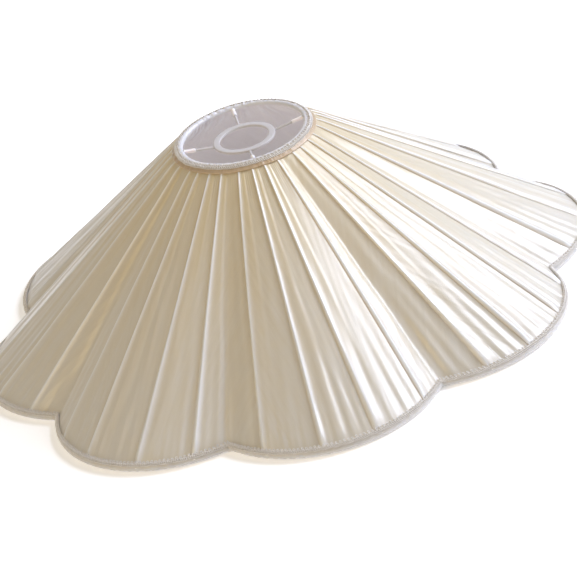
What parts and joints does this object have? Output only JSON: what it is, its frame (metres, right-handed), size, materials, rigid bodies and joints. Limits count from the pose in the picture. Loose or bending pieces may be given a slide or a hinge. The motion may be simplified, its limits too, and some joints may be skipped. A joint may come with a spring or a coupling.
{
  "type": "lamp shade",
  "caption": "Scalloped, hand-pleated satin lamp shade on a wire frame, with a washer fitter in its open top and a gimp-trimmed, bound hem.",
  "frame": {"origin": "centre of the fitter washer's bore, at the washer's mid-thickness", "axes": "+Z along the shade's axis, up through the open top; +X and +Y through lobe tips and fitter arms"},
  "size_m": [0.5076, 0.5076, 0.159],
  "materials": {
    "frame_wire": "satin powder coat",
    "cotton_tape": "plain-woven cotton tape",
    "lining_satin": "soft satin",
    "cover_satin": "glossy warp-faced satin",
    "binding_satin": "soft satin bias strip",
    "braid": "looped rayon gimp braid"
  },
  "bodies": {
    "root": {"top_ring": "frame_wire", "fitter_ring": "frame_wire", "fitter_arm_1": "frame_wire", "fitter_arm_2": "frame_wire", "fitter_arm_3": "frame_wire", "fitter_arm_4": "frame_wire", "strut_1": "frame_wire", "strut_2": "frame_wire", "strut_3": "frame_wire", "strut_4": "frame_wire", "strut_5": "frame_wire", "strut_6": "frame_wire", "strut_7": "frame_wire", "strut_8": "frame_wire", "scallop_wire_1": "frame_wire", "scallop_wire_2": "frame_wire", "scallop_wire_3": "frame_wire", "scallop_wire_4": "frame_wire", "scallop_wire_5": "frame_wire", "scallop_wire_6": "frame_wire", "scallop_wire_7": "frame_wire", "scallop_wire_8": "frame_wire", "top_ring_tape": "cotton_tape", "strut_tapes": "cotton_tape", "scallop_wire_tapes": "cotton_tape", "lining_half_1": "lining_satin", "lining_half_2": "lining_satin", "arm_neatener_1": "lining_satin", "arm_neatener_2": "lining_satin", "arm_neatener_3": "lining_satin", "arm_neatener_4": "lining_satin", "cover_panel_1": "cover_satin", "cover_panel_2": "cover_satin", "cover_panel_3": "cover_satin", "cover_panel_4": "cover_satin", "cover_panel_5": "cover_satin", "cover_panel_6": "cover_satin", "cover_panel_7": "cover_satin", "cover_panel_8": "cover_satin", "top_binding": "binding_satin", "bottom_binding": "binding_satin", "top_braid": "braid", "bottom_braid": "braid"}
  },
  "joints": []
}
